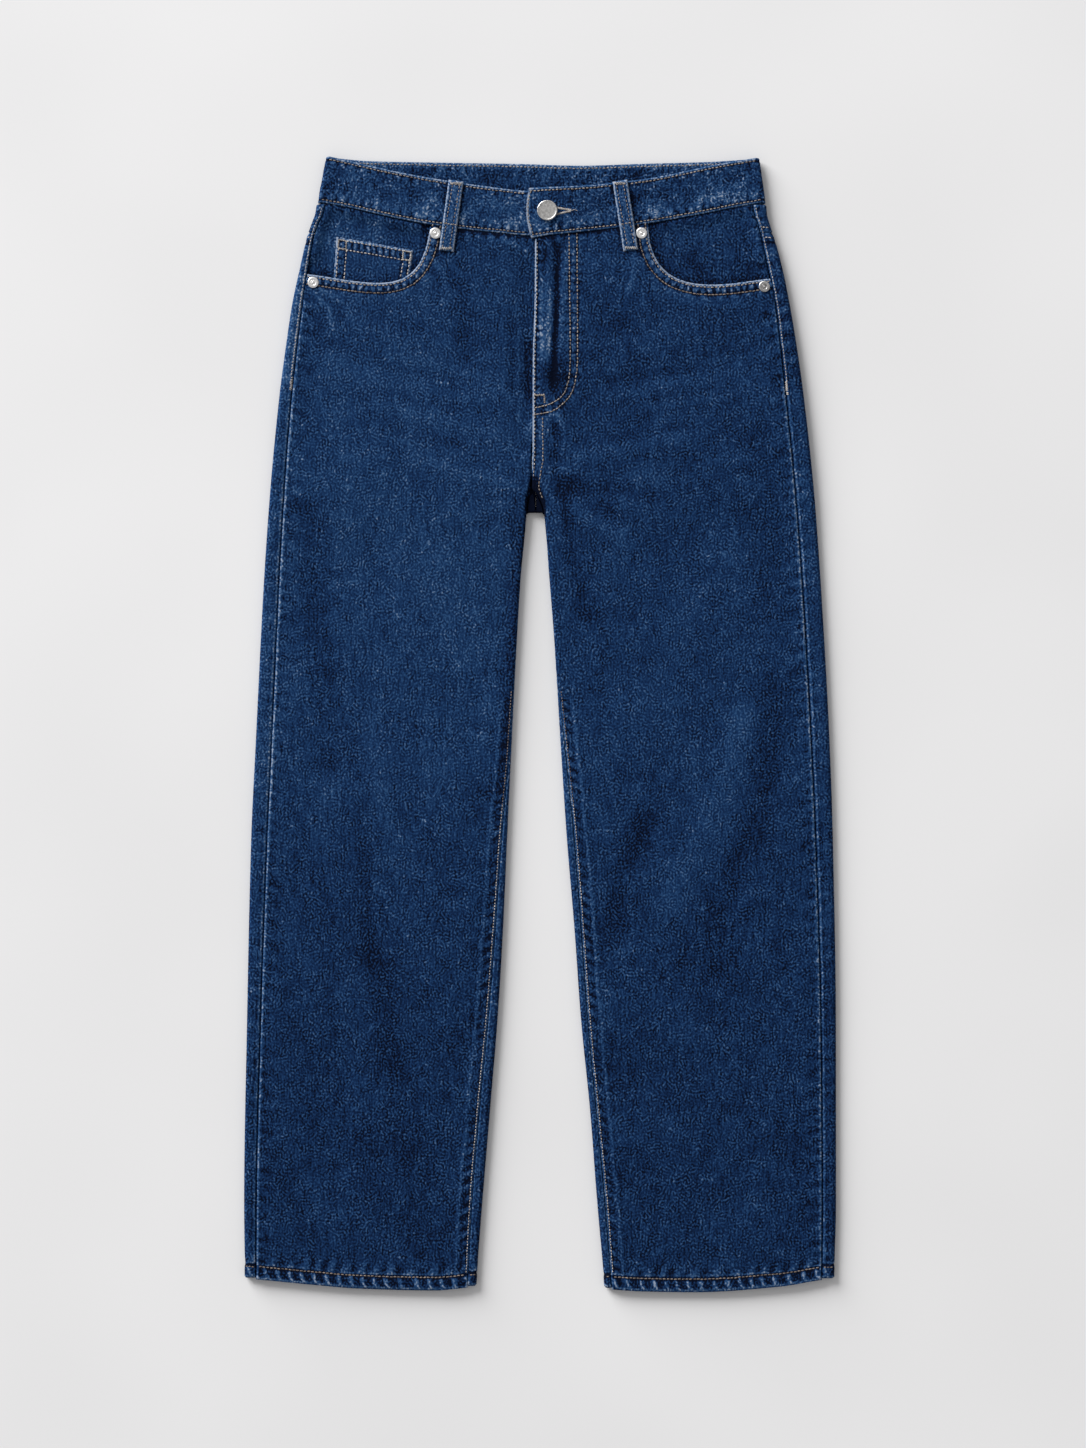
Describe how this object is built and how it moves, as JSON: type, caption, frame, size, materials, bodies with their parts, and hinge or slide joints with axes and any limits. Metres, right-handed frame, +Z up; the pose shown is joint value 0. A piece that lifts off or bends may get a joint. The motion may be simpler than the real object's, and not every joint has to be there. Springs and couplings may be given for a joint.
{
  "type": "mom jeans",
  "caption": "Straight, high-waisted denim jeans laid flat, front up, with a buttoned waistband, zip fly, front scoop pockets, a coin pocket, back patch pockets and turned-up hems.",
  "frame": {"origin": "centre of the garment's box, on the surface it lies on", "axes": "+X to the wearer's left, +Y to the waist, +Z up, out of the front of the jeans"},
  "size_m": [0.521, 0.9987, 0.0131],
  "materials": {
    "denim": "stonewashed mid-blue cotton twill, matt, worn paler along seams and edges",
    "thread": "golden tan spun topstitching thread",
    "zip_tape": "dark navy woven tape with a metal chain",
    "nickel": "brushed, slightly tarnished nickel plate"
  },
  "bodies": {
    "root": {"front_right": "denim", "front_left": "denim", "back_right": "denim", "back_left": "denim", "yoke_right": "denim", "yoke_left": "denim", "waistband": "denim", "pocket_facing_right": "denim", "pocket_facing_left": "denim", "coin_pocket": "denim", "back_pocket_right": "denim", "back_pocket_left": "denim", "belt_loop_front_right": "denim", "belt_loop_front_left": "denim", "belt_loop_back_right": "denim", "belt_loop_back_centre": "denim", "belt_loop_back_left": "denim", "fly_zip": "zip_tape", "button": "nickel", "rivet_waist_right": "nickel", "rivet_side_right": "nickel", "rivet_waist_left": "nickel", "rivet_side_left": "nickel"}
  },
  "joints": []
}
